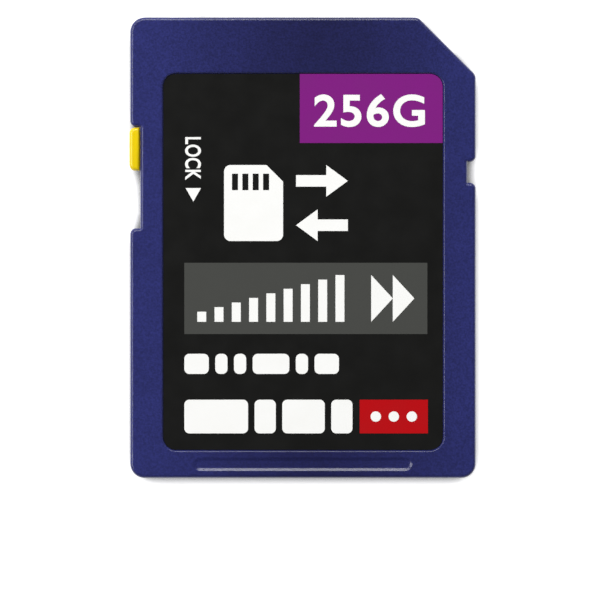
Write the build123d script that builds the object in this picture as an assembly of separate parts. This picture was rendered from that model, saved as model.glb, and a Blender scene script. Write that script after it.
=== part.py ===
from build123d import *
import os
from math import radians, sin, sqrt, tan

# Full-size flash memory card. Two welded half shells trap a circuit board and a write-protect slider.
# The card lies on its contact side with the label up. X runs across it, Y points to the contact end and
# Z points up. The origin is under the card's middle, on the plane of its rear face. All in millimetres.

# Contact row, from the left edge as seen from the label side: contacts 8, 7, 6, 5, 4, 3, 2, 1 and 9
left_contact_margin = 2.25
contact_8_to_7 = 1.7
contact_7_to_6 = 2.425
contact_pitch = 2.5
right_contact_margin = 2.625
contact_pad_width = 1.7
contact_pad_narrow_width = 1.1
contact_pad_length = 4.2
contact_pad_thickness = 0.035
contact_pad_corner = 0.2
contact_setback = 1.2
contact_9_setback = 3.8
contact_recess = 0.7

# Overall size, the width being that of the contact row and its margins
pitched_gaps = 6
contact_row = contact_8_to_7 + contact_7_to_6 + pitched_gaps * contact_pitch
card_width = left_contact_margin + contact_row + right_contact_margin
card_length = 32.0
card_thickness = 2.1
corner_radius = 1.0
cut_corner = 4.0
cut_corner_radius = 0.6
edge_round = 0.25
seam_bevel = 0.04

# Guide rails along the two long edges, thinner than the middle of the card
rail_thickness = 1.4
rail_width = 0.75

# Notches: the lock notch on the left edge and the latch notch on the right edge
lock_notch_setback = 7.6
lock_notch_length = 7.05
lock_notch_depth = 0.7
latch_notch_setback = 10.03
latch_notch_length = 1.46
latch_notch_depth = 0.58
notch_lip_radius = 0.4
notch_root_radius = 0.05
outer_round_share = 0.65
inner_round_share = 0.3

# Half shells
front_rim_depth = 0.7
front_skin = 0.225
rear_floor = 0.3
side_wall = 1.45
nose_wall = 1.0
tail_wall = 1.9
cut_corner_wall = 0.9
pocket_corner = 0.4
lip_width = 0.5
lip_clearance = 0.05
lip_gap = 0.02
board_ledge = 0.9
support_rib_width = 0.6
support_rib_count = 3

# Slots in the rear shell that open the contacts to the leading edge
slot_side_gap = 0.15
slot_tail_gap = 0.4
slot_bevel = 0.1
bevel_angle = 45
right_angle = 90

# Write-protect slider
slider_tab_length = 3.0
slider_tab_proud = 0.06
slider_tab_inset = 0.05
slider_tab_corner = 0.4
slider_tab_round = 0.25
tab_round_share = 0.85
slider_neck_length = 2.4
slider_neck_thickness = 0.5
slider_flange_thickness = 0.6
slider_roof = 0.2
slider_slot_wall = 0.4
slider_guard_wall = 0.4
slider_clearance = 0.05
slider_end_gap = 0.05
guard_round = 0.2
guard_round_share = 0.3

# Label and its recess
label_side_margin = 2.3
label_front_margin = 3.93
label_tail_margin = 1.96
label_corner = 0.9
label_thickness = 0.08
label_recess = 0.18
label_gap = 0.03
label_rim_slope_angle = 50
label_rim_round = 0.13
rim_round_share = 0.9
ink_thickness = 0.015

# Finger groove in the front shell
groove_length = 15.2
groove_width = 0.94
groove_edge_margin = 0.49
groove_depth = 0.09
groove_wall_slope_angle = 22
groove_floor_round = 0.3
groove_rim_round = 0.08

# Circuit board and what is on it
board_thickness = 0.35
board_clearance = 0.05
chip_headroom = 0.05
controller_size = 6.0
controller_setback = 3.4
controller_offset = -0.8
chip_gap = 4.5
flash_side_margin = 1.0
flash_tail_margin = 0.5
chip_mark_radius = 0.45
chip_mark_depth = 0.05
chip_mark_margin = 1.0
passive_length = 1.0
passive_width = 0.5
passive_end_length = 0.22
capacitor_count = 6
capacitor_height = 0.4
capacitor_pitch = 2.4
resistor_count = 4
resistor_height = 0.3
resistor_pitch = 1.4
resistor_gap = 2.0

# Printed fields, measured in from the label's edges
purple_width = 9.92
purple_height = 4.8
band_left_margin = 1.46
band_right_margin = 1.06
red_width = 4.74
red_height = 2.34
red_right_margin = 1.02
print_tail_margin = 1.14

# White marks: lock arrow, card sign, data arrows, rising bars, fast-forward sign, dash rows and dots
lock_arrow_width = 1.07
lock_arrow_length = 0.94
lock_arrow_left = 1.55
lock_arrow_front = 7.93
card_sign_width = 4.1
card_sign_height = 5.28
card_sign_left = 4.22
card_sign_front = 6.33
card_sign_corner = 0.45
card_sign_cut = 1.15
card_sign_cut_round = 0.15
card_sign_windows = 4
card_sign_window_width = 0.42
card_sign_window_length = 1.15
card_sign_window_pitch = 0.72
card_sign_window_left = 0.55
card_sign_window_front = 0.6
data_arrow_gap = 0.9
data_arrow_length = 3.6
data_arrow_head = 1.5
data_arrow_width = 2.2
data_arrow_shaft = 0.8
band_gap = 1.51
bar_count = 9
bar_width = 0.62
bar_pitch = 1.2
bar_first_height = 0.7
bar_left_margin = 0.9
bar_margin = 0.85
forward_sign_width = 1.5
forward_sign_right = 0.9
row_gap = 1.37
upper_row_height = 1.4
row_spacing = 1.79
lower_row_height = 2.34
row_dash_gap = 0.45
row_dash_corner = 0.35
row_dash_corner_share = 0.45
upper_row_left = 1.46
upper_row_right = 7.2
lower_row_gap = 0.5
red_dot_radius = 0.36
red_dot_count = 3
red_dot_pitch = 1.25

# Dash lengths of the two rows, as parts of the room that their row leaves
upper_row_dashes = (2, 1, 1, 3, 1, 2)
lower_row_dashes = (3, 1, 2, 1)

# Heights worked out from the sizes above
front_face = card_thickness
rail_underside = front_face - rail_thickness
seam = front_face - front_rim_depth
board_bottom = contact_recess + contact_pad_thickness
board_top = board_bottom + board_thickness
label_seat = front_face - label_recess
label_face_height = label_seat + label_thickness
field_face_height = label_face_height + ink_thickness
ceiling = label_seat - front_skin
chip_height = ceiling - chip_headroom - board_top

# Places along X and Y worked out from the sizes above
left_edge = -card_width / 2
right_edge = card_width / 2
tail_edge = -card_length / 2
nose_edge = card_length / 2
lock_notch_high = nose_edge - lock_notch_setback
lock_notch_low = lock_notch_high - lock_notch_length
lock_notch_x = left_edge + lock_notch_depth
latch_notch_high = nose_edge - latch_notch_setback
latch_notch_low = latch_notch_high - latch_notch_length
latch_notch_x = right_edge - latch_notch_depth
channel_near_x = lock_notch_x + slider_slot_wall
channel_far_x = channel_near_x + slider_flange_thickness + 2 * slider_clearance
guard_x = channel_far_x + slider_guard_wall
slider_tab_high = lock_notch_high - slider_end_gap
slider_tab_low = slider_tab_high - slider_tab_length
slider_travel = lock_notch_length - slider_tab_length - 2 * slider_end_gap
slider_neck_low = slider_tab_low + (slider_tab_length - slider_neck_length) / 2
slider_neck_high = slider_neck_low + slider_neck_length
flange_half_height = front_rim_depth - slider_roof - slider_clearance
label_left = left_edge + label_side_margin
label_right = right_edge - label_side_margin
label_tail = tail_edge + label_tail_margin
label_nose = nose_edge - label_front_margin
lip_inset = lip_clearance + lip_width
board_nose = nose_edge - nose_wall - board_clearance
controller_nose = board_nose - controller_setback
controller_tail = controller_nose - controller_size
flash_nose = controller_tail - chip_gap
flash_tail = tail_edge + tail_wall + lip_inset + flash_tail_margin
flash_half_width = card_width / 2 - side_wall - lip_inset - flash_side_margin


def rounded_face(points, radii):
    """Flat face inside closed corner points, each corner rounded by its own radius."""
    return make_face(FilletPolyline(*points, radius=radii, close=True))


def rectangle(x_low, x_high, y_low, y_high):
    """Flat rectangle given by its four limits."""
    return Pos((x_low + x_high) / 2, (y_low + y_high) / 2) * Rectangle(x_high - x_low, y_high - y_low)


def slab(face, low, high):
    """Solid with the face's outline, from one height to another."""
    return Pos(0, 0, low) * extrude(face, high - low)


def edges_at(solid, height):
    """Edges of a solid that lie in the level plane at the given height."""
    return solid.edges().filter_by_position(Axis.Z, height, height)


def notch_radii(depth):
    """Rounds of a notch from one lip to the other, each kept within its share of the depth."""
    lip = min(notch_lip_radius, outer_round_share * depth)
    root = min(notch_root_radius, inner_round_share * depth)
    return [lip, root, root, lip]


def card_face(notched=True):
    """Outline of the card: three round corners, the cut corner and, if notched, the two edge notches."""
    tail_points = [(left_edge, tail_edge), (right_edge, tail_edge)]
    latch_points = [
        (right_edge, latch_notch_low),
        (latch_notch_x, latch_notch_low),
        (latch_notch_x, latch_notch_high),
        (right_edge, latch_notch_high),
    ]
    nose_points = [
        (right_edge, nose_edge - cut_corner),
        (right_edge - cut_corner, nose_edge),
        (left_edge, nose_edge),
    ]
    lock_points = [
        (left_edge, lock_notch_high),
        (lock_notch_x, lock_notch_high),
        (lock_notch_x, lock_notch_low),
        (left_edge, lock_notch_low),
    ]
    tail_radii = [corner_radius, corner_radius]
    nose_radii = [cut_corner_radius, cut_corner_radius, corner_radius]
    if not notched:
        return rounded_face(tail_points + nose_points, tail_radii + nose_radii)
    return rounded_face(
        tail_points + latch_points + nose_points + lock_points,
        tail_radii + notch_radii(latch_notch_depth) + nose_radii + notch_radii(lock_notch_depth),
    )


def pocket_face(inset):
    """Outline of the board pocket, moved inwards by inset: it steps round the slider's housing."""
    left = left_edge + side_wall + inset
    right = right_edge - side_wall - inset
    tail = tail_edge + tail_wall + inset
    nose = nose_edge - nose_wall - inset
    cut_sum = right_edge + nose_edge - cut_corner - sqrt(2) * (cut_corner_wall + inset)
    step_x = guard_x + inset
    step_tail = lock_notch_low - slider_guard_wall - inset
    step_nose = lock_notch_high + slider_guard_wall + inset
    points = [
        (left, tail),
        (right, tail),
        (right, cut_sum - right),
        (cut_sum - nose, nose),
        (left, nose),
        (left, step_nose),
        (step_x, step_nose),
        (step_x, step_tail),
        (left, step_tail),
    ]
    step_round = min(guard_round, guard_round_share * (step_x - left))
    return rounded_face(points, [pocket_corner] * 5 + [step_round] * 4)


def label_outline(grow=0.0):
    """Round-cornered outline of the label, larger by grow on every side."""
    width = label_right - label_left + 2 * grow
    length = label_nose - label_tail + 2 * grow
    middle = Pos((label_left + label_right) / 2, (label_tail + label_nose) / 2)
    return middle * RectangleRounded(width, length, label_corner + grow)


def contact_places():
    """Number, X of the centre, front end and width of each contact."""
    nose = nose_edge - contact_setback
    x_8 = left_edge + left_contact_margin
    x_7 = x_8 + contact_8_to_7
    x_6 = x_7 + contact_7_to_6
    places = [(8, x_8, nose, contact_pad_narrow_width), (7, x_7, nose, contact_pad_narrow_width)]
    for step in range(pitched_gaps):
        places.append((pitched_gaps - step, x_6 + step * contact_pitch, nose, contact_pad_width))
    places.append((9, x_6 + pitched_gaps * contact_pitch, nose_edge - contact_9_setback, contact_pad_width))
    return places


def slider_room():
    """Space that the slider's flange and neck need over their travel, above and below the seam."""
    flange_reach = flange_half_height + slider_clearance
    neck_reach = slider_neck_thickness / 2 + slider_clearance
    slot_low = slider_neck_low - slider_travel - slider_end_gap
    slot_high = slider_neck_high + slider_end_gap
    channel_face = rectangle(channel_near_x, channel_far_x, lock_notch_low, lock_notch_high)
    slot_face = rectangle(left_edge, channel_far_x, slot_low, slot_high)
    channel = slab(channel_face, seam - flange_reach, seam + flange_reach)
    return channel + slab(slot_face, seam - neck_reach, seam + neck_reach)


def front_cover():
    """Upper half shell: rim, top skin with the label recess and finger groove, and the lip on the board."""
    shell = slab(card_face(), seam, front_face)
    shell = fillet(edges_at(shell, front_face), edge_round)
    shell = chamfer(edges_at(shell, seam), seam_bevel)
    shell -= slab(pocket_face(lip_inset), seam, ceiling)
    shell += slab(pocket_face(lip_clearance) - pocket_face(lip_inset), board_top + lip_gap, seam)
    shell -= slider_room()
    rim_depth = front_face - label_face_height
    label_rim = rim_limit(label_rim_round, rim_depth, label_rim_slope_angle)
    shell = sink(shell, label_room(), label_rim)
    groove_rim = rim_limit(groove_rim_round, groove_depth, groove_wall_slope_angle)
    return sink(shell, finger_groove(), groove_rim)


def flared(face, low, high, slope_angle):
    """Solid that widens upwards from a face, with walls at the given angle from the level plane."""
    return Pos(0, 0, low) * extrude(face, high - low, taper=slope_angle - right_angle)


def rim_limit(rim_round, depth, slope_angle):
    """Round of a sloping wall's rim, kept within its share of the wall: it takes round x tan(slope / 2)."""
    wall = depth / sin(radians(slope_angle))
    return min(rim_round, rim_round_share * wall / tan(radians(slope_angle / 2)))


def sink(shell, cutter, rim_round):
    """Cuts a recess into the front face and rounds the rim that the cut leaves there."""
    old_rims = [edge @ 0.5 for edge in edges_at(shell, front_face)]
    shell -= cutter
    new_rim = [edge for edge in edges_at(shell, front_face) if edge @ 0.5 not in old_rims]
    return fillet(new_rim, rim_round)


def label_room():
    """Seat as deep as the label is thick, below a rim that opens outwards."""
    seat = label_outline(label_gap)
    room = slab(seat, label_seat, label_face_height)
    return room + flared(seat, label_face_height, front_face, label_rim_slope_angle)


def finger_groove():
    """Round-ended trough with sloping walls and a rounded floor, which is cut away near the tail edge."""
    floor = front_face - groove_depth
    wall_width = groove_depth / tan(radians(groove_wall_slope_angle))
    middle = Pos(0, tail_edge + groove_edge_margin + groove_width / 2)
    floor_face = middle * SlotOverall(groove_length - 2 * wall_width, groove_width - 2 * wall_width)
    trough = flared(floor_face, floor, front_face, groove_wall_slope_angle)
    floor_round = rim_limit(groove_floor_round, groove_depth / 2, groove_wall_slope_angle)
    return fillet(edges_at(trough, floor), floor_round)


def between_rails(overshoot):
    """Rectangle between the two guide rails, longer than the card by overshoot at each end."""
    middle_left = left_edge + rail_width
    middle_right = right_edge - rail_width
    return rectangle(middle_left, middle_right, tail_edge - overshoot, nose_edge + overshoot)


def card_below_seam(low):
    """Card with its notches, from a height up to the seam, where its edge is bevelled."""
    card = slab(card_face(), low, seam)
    return chamfer(edges_at(card, seam), seam_bevel)


def rear_middle():
    """Raised middle of the rear shell, cut back only where a notch is deeper than the rail beside it."""
    card = slab(card_face(notched=False), 0, seam)
    card = fillet(edges_at(card, 0), edge_round)
    strip = slab(between_rails(rail_width), 0, seam)
    strip = fillet(edges_at(strip, 0).filter_by(Axis.Y), edge_round)
    return card & strip & card_below_seam(0)


def guide_rails():
    """The rails along the two long edges, rounded below, with the place of the raised middle cut out."""
    rails = card_below_seam(rail_underside)
    rails = fillet(edges_at(rails, rail_underside), edge_round)
    return rails - slab(between_rails(rail_width), 0, front_face)


def rear_cover():
    """Lower half shell: guide rails, raised middle, board pocket, slider channel and contact slots."""
    shell = rear_middle() + guide_rails()
    shell -= slab(pocket_face(0), board_bottom, seam)
    shell -= slider_room()
    shell -= under_board_recess()
    for slot in contact_slots():
        shell -= slot
    return shell


def under_board_recess():
    """Hollow under the board, crossed by support ribs."""
    lowest_contact = nose_edge - contact_9_setback - contact_pad_length - slot_tail_gap
    recess_nose = lowest_contact - board_ledge
    recess_tail = tail_edge + tail_wall + board_ledge
    open_face = pocket_face(board_ledge) & rectangle(left_edge, right_edge, tail_edge, recess_nose)
    spacing = (recess_nose - recess_tail) / (support_rib_count + 1)
    for number in range(1, support_rib_count + 1):
        rib_tail = recess_tail + number * spacing - support_rib_width / 2
        open_face -= rectangle(left_edge, right_edge, rib_tail, rib_tail + support_rib_width)
    return slab(open_face, rear_floor, board_bottom)


def contact_slots():
    """Slots open to the rear face and the leading edge: one for each contact, but 7 and 8 share one."""
    spans = []
    for number, x, nose, width in contact_places():
        reach = width / 2 + slot_side_gap
        tail = nose - contact_pad_length - slot_tail_gap
        if number == 7:
            spans[-1] = (spans[-1][0], x + reach, tail)
        else:
            spans.append((x - reach, x + reach, tail))
    return [contact_slot(low, high, tail) for low, high, tail in spans]


def contact_slot(low, high, tail):
    """One slot up to the board, with a bevelled mouth on the rear face."""
    mouth = rectangle(low - slot_bevel, high + slot_bevel, tail - slot_bevel, nose_edge + slot_bevel)
    slot = slab(rectangle(low, high, tail, nose_edge), 0, board_bottom)
    return slot + extrude(mouth, slot_bevel, taper=bevel_angle)


def write_protect_slider():
    """Tab in the lock notch, neck through the notch wall and flange in its channel, in one moulding."""
    outer_x = left_edge - slider_tab_proud
    inner_x = lock_notch_x - slider_clearance
    flange_near = channel_near_x + slider_clearance
    flange_far = channel_far_x - slider_clearance
    tab_width = inner_x - outer_x
    corner = min(slider_tab_corner, outer_round_share * tab_width)
    # The tab's ends are straight between the outer corner and the notch wall, and the edge round fits there
    edge = min(slider_tab_round, tab_round_share * (tab_width - corner))
    far_x = inner_x + 2 * corner
    tab_points = [
        (outer_x, slider_tab_low),
        (far_x, slider_tab_low),
        (far_x, slider_tab_high),
        (outer_x, slider_tab_high),
    ]
    tab_face = rounded_face(tab_points, [corner] * len(tab_points))
    tab_face &= rectangle(outer_x, inner_x, slider_tab_low, slider_tab_high)
    tab_low = rail_underside + slider_tab_inset
    tab_high = front_face - slider_tab_inset
    tab = slab(tab_face, tab_low, tab_high)
    tab = fillet(edges_at(tab, tab_low) + edges_at(tab, tab_high), edge)
    neck = slab(
        rectangle(inner_x - edge, flange_near + slider_clearance, slider_neck_low, slider_neck_high),
        seam - slider_neck_thickness / 2,
        seam + slider_neck_thickness / 2,
    )
    flange = slab(
        rectangle(flange_near, flange_far, slider_tab_low, slider_tab_high),
        seam - flange_half_height,
        seam + flange_half_height,
    )
    return tab + neck + flange


def circuit_board():
    """Bare board, cut to the pocket."""
    return slab(pocket_face(board_clearance), board_bottom, board_top)


def contact_pads():
    """Number and solid of each gold contact under the board."""
    pads = []
    for number, x, nose, width in contact_places():
        middle = Pos(x, nose - contact_pad_length / 2)
        face = middle * RectangleRounded(width, contact_pad_length, contact_pad_corner)
        pads.append((number, slab(face, contact_recess, board_bottom)))
    return pads


def chip(x_low, x_high, y_low, y_high):
    """Moulded package on the board, with a shallow round mark at its first corner."""
    top = board_top + chip_height
    body = slab(rectangle(x_low, x_high, y_low, y_high), board_top, top)
    mark = Pos(x_low + chip_mark_margin, y_high - chip_mark_margin) * Circle(chip_mark_radius)
    return body - slab(mark, top - chip_mark_depth, top)


def passive(x, y, height):
    """Body and two tinned ends of a small part that lies along Y."""
    x_low = x - passive_width / 2
    x_high = x + passive_width / 2
    half_body = passive_length / 2 - passive_end_length
    top = board_top + height
    body = slab(rectangle(x_low, x_high, y - half_body, y + half_body), board_top, top)
    tail_end = slab(rectangle(x_low, x_high, y - passive_length / 2, y - half_body), board_top, top)
    nose_end = slab(rectangle(x_low, x_high, y + half_body, y + passive_length / 2), board_top, top)
    return body, [tail_end, nose_end]


def capacitor_places():
    """Row of capacitors between the two chips."""
    first = -(capacitor_count - 1) * capacitor_pitch / 2
    y = (controller_tail + flash_nose) / 2
    return [(first + number * capacitor_pitch, y) for number in range(capacitor_count)]


def resistor_places():
    """Column of resistors beside the controller."""
    x = controller_offset + controller_size / 2 + resistor_gap
    first = (controller_nose + controller_tail) / 2 - (resistor_count - 1) * resistor_pitch / 2
    return [(x, first + number * resistor_pitch) for number in range(resistor_count)]


def front_label():
    """Film label in its recess."""
    return slab(label_outline(), label_seat, label_face_height)


def band_limits():
    """Limits of the grey band, which fills the room between the card sign and the dash rows."""
    band_nose = label_nose - card_sign_front - card_sign_height - band_gap
    band_tail = upper_row_tail() + upper_row_height + row_gap
    return label_left + band_left_margin, label_right - band_right_margin, band_tail, band_nose


def lower_row_tail():
    """Y of the lower side of the lower dash row."""
    return label_tail + print_tail_margin


def upper_row_tail():
    """Y of the lower side of the upper dash row."""
    return lower_row_tail() + lower_row_height + row_spacing


def red_limits():
    """Limits of the red field at the end of the lower dash row."""
    red_right = label_right - red_right_margin
    return red_right - red_width, red_right, lower_row_tail(), lower_row_tail() + red_height


def printed(face, height):
    """Ink film of the face's outline on the surface at the given height."""
    return slab(face, height, height + ink_thickness)


def purple_field():
    """Field in the label's front right corner, which it follows."""
    field = rectangle(label_right - purple_width, label_right, label_nose - purple_height, label_nose)
    return printed(field & label_outline(), label_face_height)


def arrow_head(tip_x, tip_y, along_x, along_y, half_width):
    """Triangle with its tip at a point, reaching back along a direction vector."""
    length = sqrt(along_x**2 + along_y**2)
    side_x = -along_y / length * half_width
    side_y = along_x / length * half_width
    back_x = tip_x - along_x
    back_y = tip_y - along_y
    points = [(tip_x, tip_y), (back_x + side_x, back_y + side_y), (back_x - side_x, back_y - side_y)]
    return make_face(Polyline(*points, close=True))


def lock_arrow():
    """Arrow that points the way the slider locks."""
    x = label_left + lock_arrow_left + lock_arrow_width / 2
    y = label_nose - lock_arrow_front - lock_arrow_length
    return arrow_head(x, y, 0, -lock_arrow_length, lock_arrow_width / 2)


def card_sign():
    """Sign of a memory card: a cut-corner outline with a row of contact windows."""
    left = label_left + card_sign_left
    right = left + card_sign_width
    nose = label_nose - card_sign_front
    tail = nose - card_sign_height
    cut_points = [(right, nose - card_sign_cut), (right - card_sign_cut, nose)]
    points = [(left, tail), (right, tail)] + cut_points + [(left, nose)]
    radii = [card_sign_corner, card_sign_corner, card_sign_cut_round, card_sign_cut_round, card_sign_corner]
    sign = rounded_face(points, radii)
    window_nose = nose - card_sign_window_front
    window_tail = window_nose - card_sign_window_length
    for number in range(card_sign_windows):
        window_left = left + card_sign_window_left + number * card_sign_window_pitch
        sign -= rectangle(window_left, window_left + card_sign_window_width, window_tail, window_nose)
    return sign


def data_arrows():
    """Two arrows beside the card sign, one pointing each way: the front one right, the other left."""
    left = label_left + card_sign_left + card_sign_width + data_arrow_gap
    right = left + data_arrow_length
    nose = label_nose - card_sign_front
    upper_y = nose - data_arrow_width / 2
    lower_y = nose - card_sign_height + data_arrow_width / 2
    half_shaft = data_arrow_shaft / 2
    upper = arrow_head(right, upper_y, data_arrow_head, 0, data_arrow_width / 2)
    upper += rectangle(left, right - data_arrow_head, upper_y - half_shaft, upper_y + half_shaft)
    lower = arrow_head(left, lower_y, -data_arrow_head, 0, data_arrow_width / 2)
    lower += rectangle(left + data_arrow_head, right, lower_y - half_shaft, lower_y + half_shaft)
    return [upper, lower]


def rising_bars():
    """Bars of rising height that stand on one line in the grey band."""
    band_left, _, band_tail, band_nose = band_limits()
    base = band_tail + bar_margin
    tallest = band_nose - bar_margin - base
    bars = []
    for number in range(bar_count):
        left = band_left + bar_left_margin + number * bar_pitch
        height = bar_first_height + (tallest - bar_first_height) * number / (bar_count - 1)
        bars.append(rectangle(left, left + bar_width, base, base + height))
    return bars


def forward_sign():
    """Two triangles in line at the right end of the grey band."""
    _, band_right, band_tail, band_nose = band_limits()
    half_height = (band_nose - band_tail) / 2 - bar_margin
    y = (band_tail + band_nose) / 2
    tip = band_right - forward_sign_right
    tips = [tip - forward_sign_width, tip]
    return [arrow_head(tip_x, y, forward_sign_width, 0, half_height) for tip_x in tips]


def dash_row(left, right, tail, height, dashes):
    """Round-cornered dashes with even gaps that fill a row from left to right."""
    room = right - left - row_dash_gap * (len(dashes) - 1)
    row = []
    start = left
    for share in dashes:
        width = room * share / sum(dashes)
        corner = min(row_dash_corner, row_dash_corner_share * min(width, height))
        row.append(Pos(start + width / 2, tail + height / 2) * RectangleRounded(width, height, corner))
        start += width + row_dash_gap
    return row


def red_dots():
    """Row of dots in the red field."""
    red_left, red_right, red_tail, red_nose = red_limits()
    first = (red_left + red_right) / 2 - (red_dot_count - 1) * red_dot_pitch / 2
    y = (red_tail + red_nose) / 2
    places = [first + number * red_dot_pitch for number in range(red_dot_count)]
    return [Pos(x, y) * Circle(red_dot_radius) for x in places]


def white_marks():
    """All white ink: marks on the black film, then marks on the grey and red fields."""
    row_left = label_left + upper_row_left
    upper_row = dash_row(
        row_left, label_right - upper_row_right, upper_row_tail(), upper_row_height, upper_row_dashes
    )
    lower_row = dash_row(
        row_left, red_limits()[0] - lower_row_gap, lower_row_tail(), lower_row_height, lower_row_dashes
    )
    on_film = [lock_arrow(), card_sign()] + data_arrows() + upper_row + lower_row
    on_fields = rising_bars() + forward_sign() + red_dots()
    solids = [printed(face, label_face_height) for face in on_film]
    solids += [printed(face, field_face_height) for face in on_fields]
    return group(solids)


def group(shapes):
    """One node that holds several separate solids."""
    return Compound(children=[solid for shape in shapes for solid in shape.solids()])


def all_nodes():
    """Every piece of the card by its node name."""
    nodes = {
        "front_cover": front_cover(),
        "rear_cover": rear_cover(),
        "write_protect_slider": write_protect_slider(),
        "circuit_board": circuit_board(),
        "front_label": front_label(),
        "label_purple_field": purple_field(),
        "label_grey_band": printed(rectangle(*band_limits()), label_face_height),
        "label_red_field": printed(rectangle(*red_limits()), label_face_height),
        "label_white_marks": white_marks(),
        "flash_chip": chip(-flash_half_width, flash_half_width, flash_tail, flash_nose),
        "controller_chip": chip(
            controller_offset - controller_size / 2,
            controller_offset + controller_size / 2,
            controller_tail,
            controller_nose,
        ),
    }
    for number, pad in contact_pads():
        nodes[f"contact_pad_{number}"] = pad
    end_caps = []
    for kind, places, height in (
        ("capacitor", capacitor_places(), capacitor_height),
        ("resistor", resistor_places(), resistor_height),
    ):
        for number, (x, y) in enumerate(places, start=1):
            nodes[f"{kind}_{number}"], ends = passive(x, y, height)
            end_caps += ends
    nodes["component_end_caps"] = group(end_caps)
    return nodes


os.makedirs("parts", exist_ok=True)
for name, shape in all_nodes().items():
    export_step(shape, f"parts/{name}.step")
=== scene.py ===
"""Looks of a full-size memory card: finishes of its solids, two printed words, floor, lamps and camera."""

import math

import bmesh
import bpy
import numpy as np
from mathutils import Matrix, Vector


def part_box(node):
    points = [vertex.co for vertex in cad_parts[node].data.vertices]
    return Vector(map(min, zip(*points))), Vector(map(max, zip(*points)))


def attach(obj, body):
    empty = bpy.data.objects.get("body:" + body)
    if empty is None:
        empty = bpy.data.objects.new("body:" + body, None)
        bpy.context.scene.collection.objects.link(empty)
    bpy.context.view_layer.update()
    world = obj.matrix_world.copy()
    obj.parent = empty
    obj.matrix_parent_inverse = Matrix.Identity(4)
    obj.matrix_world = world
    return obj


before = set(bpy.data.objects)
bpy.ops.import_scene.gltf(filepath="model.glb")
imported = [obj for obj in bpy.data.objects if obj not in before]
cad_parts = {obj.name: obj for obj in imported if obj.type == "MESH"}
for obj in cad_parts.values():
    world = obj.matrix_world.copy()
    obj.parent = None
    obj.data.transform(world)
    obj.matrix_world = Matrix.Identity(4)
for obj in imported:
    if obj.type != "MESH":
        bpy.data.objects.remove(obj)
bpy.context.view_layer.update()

MM = 0.001

# Heights, from the solids that have them
seam_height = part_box("rear_cover")[1].z
card_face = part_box("front_cover")[1].z
label_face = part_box("front_label")[1].z
ink_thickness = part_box("label_purple_field")[1].z - label_face

# Words on the label. The capacity has margins inside its field, low side first. The lock word has a size, and
# a place measured from the label's left and front edges. Spacing and boldness are in the letters' own units.
capacity_word = "256G"
capacity_margins_x = (0.99 * MM, 1.23 * MM)
capacity_margins_y = (1.11 * MM, 1.4 * MM)
capacity_spacing = 1.1
lock_word = "LOCK"
lock_left = 1.51 * MM
lock_front = 4.39 * MM
lock_size = (1.11 * MM, 2.98 * MM)
lock_spacing = 1.05
letter_boldness = 0.022
letter_curve_steps = 8

# Joining of the solids' loose triangles, and the angles at which an edge counts as flat or as sharp
weld_reach = 0.0005 * MM
flat_angle = math.radians(0.2)
sharp_angle = math.radians(50)

# Camera: straight above, with a long lens. The picture is square, 600 pixels wide.
view_width = 41.667 * MM
view_centre = (-0.205 * MM, -3.635 * MM)
lens_mm = 400
sensor_mm = 36
near_clip = 10 * MM

# Floor: its half width in metres, the gap below the card, and the shade that it takes on close to the card.
# The shade's range is in shares of open sky, and shade_least is the glow that is left in the darkest place.
floor_half = 2.0
floor_gap = 0.02 * MM
paper_colour = "#F5F5F5"
shade_colour = "#5C5C62"
shade_reach = 1.4 * MM
shade_range = (0.44, 0.8)
shade_least = 0.08

# Surround: its level at the horizon and overhead, and the heights on a unit sphere between which it changes
sky_low = 1.0
sky_high = 0.12
sky_change = (0.12, 0.34)

# Softboxes: bearing from +X towards +Y and elevation in degrees, distance and size in mm, and level
softboxes = {
    "nose_softbox": (96, 46, 480, (420, 100), 0.62),
    "left_softbox": (174, 46, 480, (320, 80), 0.34),
}

# The range that a noise pattern really fills
noise_low = 0.3
noise_high = 0.7

# Sockets of the colour mixing node, whose names it shares with its other uses
MIX_SHARE, MIX_FIRST, MIX_SECOND, MIX_RESULT = 0, 6, 7, 2


def linear(hex_colour):
    """Linear RGBA of an sRGB hex colour: each channel goes through the sRGB decoding curve."""
    channels = np.array([int(hex_colour[i : i + 2], 16) for i in (1, 3, 5)]) / 255
    decoded = np.where(channels <= 0.04045, channels / 12.92, ((channels + 0.055) / 1.055) ** 2.4)
    return (*decoded.tolist(), 1.0)


def add(tree, kind, inputs, output=0, **settings):
    """Adds one node and gives one of its outputs. inputs maps a socket to a constant or to another output."""
    made = tree.nodes.new(kind)
    for setting, value in settings.items():
        setattr(made, setting, value)
    for socket, value in inputs.items():
        if isinstance(value, bpy.types.NodeSocket):
            tree.links.new(value, made.inputs[socket])
        else:
            made.inputs[socket].default_value = value
    return made.outputs[output]


def blank_finish(name, constants):
    """New material with constants on its Principled shader: gives the material, its tree and the shader."""
    material = bpy.data.materials.new(name)
    material.use_nodes = True
    tree = material.node_tree
    shader = tree.nodes["Principled BSDF"]
    for socket, value in constants.items():
        shader.inputs[socket].default_value = value
    return material, tree, shader


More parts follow.
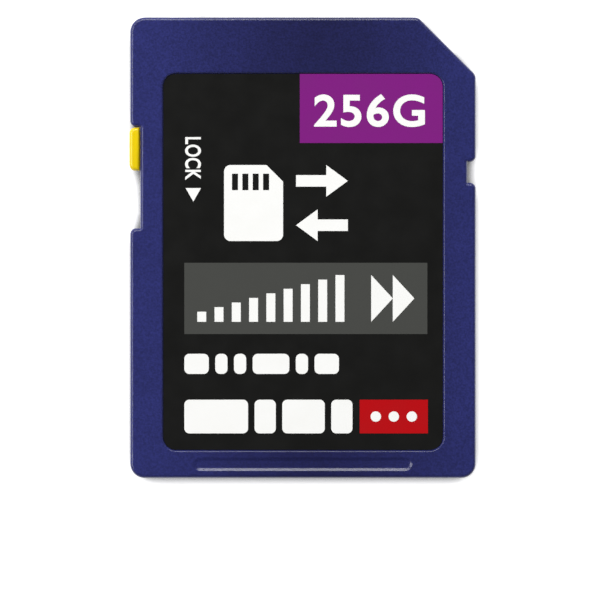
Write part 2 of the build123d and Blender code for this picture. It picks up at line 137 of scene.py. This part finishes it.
def clouded_finish(name, colours, roughness, pitch_mm, relief_mm, constants, stretch=(1, 1, 1), detail=2.0):
    """Material in which colour, roughness and relief all follow one cloudy pattern.

    Colours and roughness are given for the pattern's low and high places. Its largest blobs are pitch_mm
    apart, its finest 2 ** detail times closer, and stretch makes it finer or longer along X, Y and Z.
    """
    material, tree, shader = blank_finish(name, constants)
    place = add(tree, "ShaderNodeTexCoord", {}, "Object")
    drawn_out = add(tree, "ShaderNodeMapping", {"Vector": place, "Scale": stretch})
    cloud = add(
        tree,
        "ShaderNodeTexNoise",
        {"Vector": drawn_out, "Scale": 1 / (pitch_mm * MM), "Detail": detail},
        "Fac",
    )
    share = add(tree, "ShaderNodeMapRange", {"Value": cloud, "From Min": noise_low, "From Max": noise_high})
    colour = add(
        tree,
        "ShaderNodeMix",
        {MIX_SHARE: share, MIX_FIRST: linear(colours[0]), MIX_SECOND: linear(colours[1])},
        MIX_RESULT,
        data_type="RGBA",
    )
    dullness = add(
        tree, "ShaderNodeMapRange", {"Value": share, "To Min": roughness[0], "To Max": roughness[1]}
    )
    skin = add(tree, "ShaderNodeBump", {"Height": cloud, "Distance": relief_mm * MM})
    tree.links.new(colour, shader.inputs["Base Color"])
    tree.links.new(dullness, shader.inputs["Roughness"])
    tree.links.new(skin, shader.inputs["Normal"])
    return material


def blue_moulded_abs():
    """Blue ABS from a spark-eroded mould: a fine even grain, with painted shade that darkens the middle of
    the label side.

    The painted shade's share is 1 - (|x - middle_x| / reach) ** fall, times the share of the way from the
    seam to the face, so that it fades out down the sides.
    """
    colour_plain = "#282C68"
    # Colour of the painted shade at the middle of the label side
    painted_shade_colour = "#1A1C4A"
    middle_x = 1.2 * MM
    reach = 10.8 * MM
    fall = 1.4
    # The real grit is about 0.03 mm. It is drawn four times coarser, so that a pixel can show it.
    grit_mm = 0.12
    grit_depth_mm = 0.006
    grit_swing = 0.24
    flow_mm = 2.5
    flow_swing = 0.06
    constants = {"Roughness": 0.28, "IOR": 1.53, "Specular IOR Level": 0.4}
    material, tree, shader = blank_finish("blue_abs_spark_eroded", constants)
    place = add(tree, "ShaderNodeTexCoord", {}, "Object")
    x = add(tree, "ShaderNodeSeparateXYZ", {0: place}, "X")
    z = add(tree, "ShaderNodeSeparateXYZ", {0: place}, "Z")
    from_middle = add(tree, "ShaderNodeMath", {0: x, 1: middle_x}, operation="SUBTRACT")
    distance = add(tree, "ShaderNodeMath", {0: from_middle}, operation="ABSOLUTE")
    side_share = add(tree, "ShaderNodeMath", {0: distance, 1: reach}, operation="DIVIDE", use_clamp=True)
    plain_share = add(tree, "ShaderNodeMath", {0: side_share, 1: fall}, operation="POWER")
    # Painted shade: darkest along the middle of the label side, less towards its long edges
    painted_shade_across = add(tree, "ShaderNodeMath", {0: 1.0, 1: plain_share}, operation="SUBTRACT")
    height_share = add(
        tree, "ShaderNodeMapRange", {"Value": z, "From Min": seam_height, "From Max": card_face}
    )
    # Painted shade share, faded out from the face down to the seam
    painted_shade_share = add(tree, "ShaderNodeMath", {0: painted_shade_across, 1: height_share}, operation="MULTIPLY")
    colour = add(
        tree,
        "ShaderNodeMix",
        {MIX_SHARE: painted_shade_share, MIX_FIRST: linear(colour_plain), MIX_SECOND: linear(painted_shade_colour)},
        MIX_RESULT,
        data_type="RGBA",
    )
    grit = add(
        tree, "ShaderNodeTexNoise", {"Vector": place, "Scale": 1 / (grit_mm * MM), "Detail": 1.0}, "Fac"
    )
    flow = add(tree, "ShaderNodeTexNoise", {"Vector": place, "Scale": 1 / (flow_mm * MM)}, "Fac")
    for pattern, swing in ((grit, grit_swing), (flow, flow_swing)):
        brightness = add(
            tree,
            "ShaderNodeMapRange",
            {
                "Value": pattern,
                "From Min": noise_low,
                "From Max": noise_high,
                "To Min": 1 - swing,
                "To Max": 1 + swing,
            },
        )
        colour = add(tree, "ShaderNodeHueSaturation", {"Color": colour, "Value": brightness})
    skin = add(tree, "ShaderNodeBump", {"Height": grit, "Distance": grit_depth_mm * MM})
    tree.links.new(colour, shader.inputs["Base Color"])
    tree.links.new(skin, shader.inputs["Normal"])
    return material


def yellow_moulded_acetal():
    """Yellow acetal from a polished mould: smooth and a little waxy, with faint flow lines along the tab."""
    return clouded_finish(
        "yellow_acetal_moulded",
        colours=("#EFD000", "#E9CA00"),
        roughness=(0.24, 0.32),
        pitch_mm=0.25,
        relief_mm=0.002,
        constants={"IOR": 1.48},
        stretch=(1, 0.15, 1),
    )


def black_label_film():
    """Black polyester film, satin: even and dark, with the faint unevenness of the adhesive below."""
    return clouded_finish(
        "black_polyester_film_satin",
        colours=("#121211", "#141413"),
        roughness=(0.28, 0.34),
        pitch_mm=1.6,
        relief_mm=0.001,
        constants={"IOR": 1.55, "Specular IOR Level": 0.25},
        detail=4.0,
    )


def screen_ink(name, colour, thin_colour):
    """Screen-printed ink: flat colour with the slightly uneven cover that the mesh of the screen leaves."""
    return clouded_finish(
        name,
        colours=(colour, thin_colour),
        roughness=(0.28, 0.36),
        pitch_mm=1.8,
        relief_mm=0.002,
        constants={"Specular IOR Level": 0.25},
        detail=4.0,
    )


def green_solder_mask():
    """Glass-fibre board under green solder mask: glossy, with the weave of the cloth just showing."""
    thread_mm = 0.45
    thread_wander = 0.4
    weave_depth_mm = 0.004
    # A wave texture of scale 1 repeats every pi / 10 of its length unit.
    wave_scale = math.pi / 10 / (thread_mm * MM)
    material, tree, shader = blank_finish("green_solder_mask_cured", {"Roughness": 0.3, "IOR": 1.55})
    place = add(tree, "ShaderNodeTexCoord", {}, "Object")
    warp, weft = (
        add(
            tree,
            "ShaderNodeTexWave",
            {"Vector": place, "Scale": wave_scale, "Distortion": thread_wander},
            "Fac",
            bands_direction=direction,
        )
        for direction in ("X", "Y")
    )
    weave = add(tree, "ShaderNodeMath", {0: warp, 1: weft}, operation="MULTIPLY")
    colour = add(
        tree,
        "ShaderNodeMix",
        {MIX_SHARE: weave, MIX_FIRST: linear("#0F4A2A"), MIX_SECOND: linear("#17603A")},
        MIX_RESULT,
        data_type="RGBA",
    )
    skin = add(tree, "ShaderNodeBump", {"Height": weave, "Distance": weave_depth_mm * MM})
    tree.links.new(colour, shader.inputs["Base Color"])
    tree.links.new(skin, shader.inputs["Normal"])
    return material


def gold_contact_plate():
    """Hard gold plated over nickel: warm metal with wiping marks along the way the card is pushed in.

    The real marks are about 0.02 mm wide, and are drawn wider so that they show.
    """
    return clouded_finish(
        "gold_plated_contact",
        colours=("#E2BC62", "#CFA24A"),
        roughness=(0.2, 0.38),
        pitch_mm=0.07,
        relief_mm=0.002,
        constants={"Metallic": 1.0},
        stretch=(1, 0.04, 1),
    )


def black_chip_resin():
    """Moulded epoxy with silica filler: matt charcoal with a fine speckle, drawn a little coarse to show."""
    return clouded_finish(
        "charcoal_epoxy_moulded",
        colours=("#1B1B1D", "#29292B"),
        roughness=(0.58, 0.66),
        pitch_mm=0.08,
        relief_mm=0.004,
        constants={"IOR": 1.5},
        detail=1.0,
    )


def fired_ceramic(name, colour, speck_colour):
    """Fired ceramic of a small electronic part: dull, with a sandy speckle."""
    return clouded_finish(
        name,
        colours=(colour, speck_colour),
        roughness=(0.5, 0.6),
        pitch_mm=0.06,
        relief_mm=0.003,
        constants={"IOR": 1.6},
        detail=1.0,
    )


def reflowed_tin():
    """Tin that melted in the oven: bright grey metal with a soft, uneven skin."""
    return clouded_finish(
        "tin_reflowed",
        colours=("#C9CBCE", "#B4B7BB"),
        roughness=(0.28, 0.42),
        pitch_mm=0.12,
        relief_mm=0.004,
        constants={"Metallic": 1.0},
    )


def smooth_rounds(solid):
    """Lets rounded edges shade as curves and keeps flat faces flat.

    The loose triangles are joined, level ones merged into whole faces, and all parted again at sharp edges.
    """
    solid.data.polygons.foreach_set("use_smooth", np.ones(len(solid.data.polygons), dtype=bool))
    weld = solid.modifiers.new("join_triangles", "WELD")
    weld.merge_threshold = weld_reach
    merge = solid.modifiers.new("merge_level_triangles", "DECIMATE")
    merge.decimate_type = "DISSOLVE"
    merge.angle_limit = flat_angle
    split = solid.modifiers.new("part_at_sharp_edges", "EDGE_SPLIT")
    split.split_angle = sharp_angle
    flats = solid.modifiers.new("keep_flats_flat", "WEIGHTED_NORMAL")
    flats.keep_sharp = True


def dress_solids(white_ink):
    """Gives every solid of the card its finish, by what it is made of. Numbered nodes share their kind's."""
    shell = blue_moulded_abs()
    resin = black_chip_resin()
    finishes = {
        "front_cover": shell,
        "rear_cover": shell,
        "write_protect_slider": yellow_moulded_acetal(),
        "circuit_board": green_solder_mask(),
        "front_label": black_label_film(),
        "label_purple_field": screen_ink("purple_screen_ink", "#801D80", "#7D1C7D"),
        "label_grey_band": screen_ink("grey_screen_ink", "#484946", "#464744"),
        "label_red_field": screen_ink("red_screen_ink", "#BA0710", "#B5060F"),
        "label_white_marks": white_ink,
        "flash_chip": resin,
        "controller_chip": resin,
        "contact_pad": gold_contact_plate(),
        "capacitor": fired_ceramic("tan_ceramic_fired", "#8A6A4A", "#9C7B58"),
        "resistor": fired_ceramic("black_glaze_fired", "#17171A", "#26262A"),
        "component_end_caps": reflowed_tin(),
    }
    for name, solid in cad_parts.items():
        kind = name if name in finishes else name.rstrip("0123456789").rstrip("_")
        solid.data.materials.clear()
        solid.data.materials.append(finishes[kind])
        smooth_rounds(solid)


def printed_word(name, letters, low, high, spacing, turned, ink):
    """Word as a thin layer of ink that fills the box between two corners, read downwards where it is turned.

    The letters' outline is filled and thickened, and each point (u, v, w) of its unit box goes to
    low + (u, v, w) * (high - low), or with u and v taken as v and 1 - u where the word is turned.
    """
    outline = bpy.data.curves.new(name, "FONT")
    outline.body = letters
    outline.offset = letter_boldness
    outline.space_character = spacing
    outline.resolution_u = letter_curve_steps
    # Any depth will do, because the unit box is stretched to the ink's thickness.
    outline.extrude = 1.0
    draft = bpy.data.objects.new(name, outline)
    bpy.context.collection.objects.link(draft)
    drawn = draft.evaluated_get(bpy.context.evaluated_depsgraph_get())
    mesh = bpy.data.meshes.new_from_object(drawn)
    bpy.data.objects.remove(draft)
    points = np.empty(3 * len(mesh.vertices))
    mesh.vertices.foreach_get("co", points)
    points = points.reshape(-1, 3)
    unit = (points - points.min(axis=0)) / np.ptp(points, axis=0)
    if turned:
        unit = np.column_stack((unit[:, 1], 1 - unit[:, 0], unit[:, 2]))
    mesh.vertices.foreach_set("co", (low + unit * (high - low)).ravel())
    cleaner = bmesh.new()
    cleaner.from_mesh(mesh)
    bmesh.ops.remove_doubles(cleaner, verts=cleaner.verts, dist=weld_reach)
    cleaner.to_mesh(mesh)
    cleaner.free()
    mesh.name = name
    mesh.materials.clear()
    mesh.materials.append(ink)
    word = bpy.data.objects.new(name, mesh)
    bpy.context.collection.objects.link(word)
    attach(word, "card")


def print_capacity(ink):
    """Capacity in the purple field, within its margins."""
    field_low, field_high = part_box("label_purple_field")
    left = field_low.x + capacity_margins_x[0]
    right = field_high.x - capacity_margins_x[1]
    tail = field_low.y + capacity_margins_y[0]
    nose = field_high.y - capacity_margins_y[1]
    low = np.array((left, tail, field_high.z))
    high = np.array((right, nose, field_high.z + ink_thickness))
    printed_word("capacity_word", capacity_word, low, high, capacity_spacing, False, ink)


def print_lock(ink):
    """Lock word beside the slider, printed on the film and read from the nose to the tail."""
    label_low, label_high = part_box("front_label")
    left = label_low.x + lock_left
    nose = label_high.y - lock_front
    low = np.array((left, nose - lock_size[1], label_face))
    high = np.array((left + lock_size[0], nose, label_face + ink_thickness))
    printed_word("lock_word", lock_word, low, high, lock_spacing, True, ink)


def pale_floor():
    """White uncoated paper: dull, shaded close to the card, and with a glow to the eye that reads as white.

    A glow of strength 1 is white. Camera, glossy and transmission rays see it, and it lights nothing.
    """
    edge = floor_half
    mesh = bpy.data.meshes.new("paper_floor")
    corners = np.array([(-edge, -edge), (edge, -edge), (edge, edge), (-edge, edge)])
    mesh.from_pydata(np.column_stack((corners, np.full(4, -floor_gap))).tolist(), [], [(0, 1, 2, 3)])
    floor = bpy.data.objects.new("paper_floor", mesh)
    bpy.context.collection.objects.link(floor)
    constants = {"Roughness": 0.9, "Specular IOR Level": 0.0, "Emission Color": linear("#FFFFFF")}
    paper, tree, shader = blank_finish("white_paper_uncoated", constants)
    rays = tree.nodes.new("ShaderNodeLightPath").outputs
    seen = rays["Is Camera Ray"]
    for kind in ("Is Glossy Ray", "Is Transmission Ray"):
        seen = add(tree, "ShaderNodeMath", {0: seen, 1: rays[kind]}, operation="ADD")
    openness = add(tree, "ShaderNodeAmbientOcclusion", {"Distance": shade_reach}, "AO")
    lit_share = add(
        tree,
        "ShaderNodeMapRange",
        {
            "Value": openness,
            "From Min": shade_range[0],
            "From Max": shade_range[1],
            "To Min": shade_least,
        },
    )
    colour = add(
        tree,
        "ShaderNodeMix",
        {MIX_SHARE: lit_share, MIX_FIRST: linear(shade_colour), MIX_SECOND: linear(paper_colour)},
        MIX_RESULT,
        data_type="RGBA",
    )
    glow = add(tree, "ShaderNodeMath", {0: seen, 1: lit_share}, operation="MULTIPLY")
    tree.links.new(colour, shader.inputs["Base Color"])
    tree.links.new(glow, shader.inputs["Emission Strength"])
    mesh.materials.append(paper)


def studio_sky():
    """Even studio surround: white at the horizon, greyer overhead where the camera hangs."""
    world = bpy.data.worlds.new("studio_surround")
    bpy.context.scene.world = world
    world.use_nodes = True
    tree = world.node_tree
    direction = add(tree, "ShaderNodeTexCoord", {}, "Generated")
    height = add(tree, "ShaderNodeSeparateXYZ", {0: direction}, "Z")
    level = add(
        tree,
        "ShaderNodeMapRange",
        {
            "Value": height,
            "From Min": sky_change[0],
            "From Max": sky_change[1],
            "To Min": sky_low,
            "To Max": sky_high,
        },
        interpolation_type="SMOOTHSTEP",
    )
    background = tree.nodes["Background"]
    background.inputs["Color"].default_value = linear("#FFFFFF")
    tree.links.new(level, background.inputs["Strength"])


def soft_lamp(name, bearing, elevation, distance_mm, size_mm, level):
    """Rectangular lamp that faces the card and adds that level, where 1 shows a white face as white.

    A lamp of power P at distance d gives a level face P * sin(elevation) / (pi * d) ** 2.
    """
    turn = math.radians(bearing)
    rise = math.radians(elevation)
    towards = Vector((math.cos(rise) * math.cos(turn), math.cos(rise) * math.sin(turn), math.sin(rise)))
    distance = distance_mm * MM
    lamp = bpy.data.lights.new(name, "AREA")
    lamp.shape = "RECTANGLE"
    lamp.size = size_mm[0] * MM
    lamp.size_y = size_mm[1] * MM
    lamp.energy = level * (math.pi * distance) ** 2 / math.sin(rise)
    held = bpy.data.objects.new(name, lamp)
    held.visible_camera = False
    held.location = Vector((0, 0, card_face)) + distance * towards
    held.rotation_euler = (-towards).to_track_quat("-Z", "Y").to_euler()
    bpy.context.collection.objects.link(held)


def camera_above():
    """Camera that looks straight down on the card's face, from where the lens takes in the view's width."""
    lens = bpy.data.cameras.new("camera_above")
    lens.lens = lens_mm
    lens.sensor_width = sensor_mm
    lens.clip_start = near_clip
    camera = bpy.data.objects.new("camera_above", lens)
    camera.location = (*view_centre, card_face + view_width * lens_mm / sensor_mm)
    bpy.context.collection.objects.link(camera)
    bpy.context.scene.camera = camera


white_ink = screen_ink("white_screen_ink", "#FCFCFA", "#F9F9F6")
dress_solids(white_ink)
print_capacity(white_ink)
print_lock(white_ink)
pale_floor()
studio_sky()
for lamp_name, lamp_settings in softboxes.items():
    soft_lamp(lamp_name, *lamp_settings)
camera_above()
bpy.context.scene.view_settings.view_transform = "Standard"
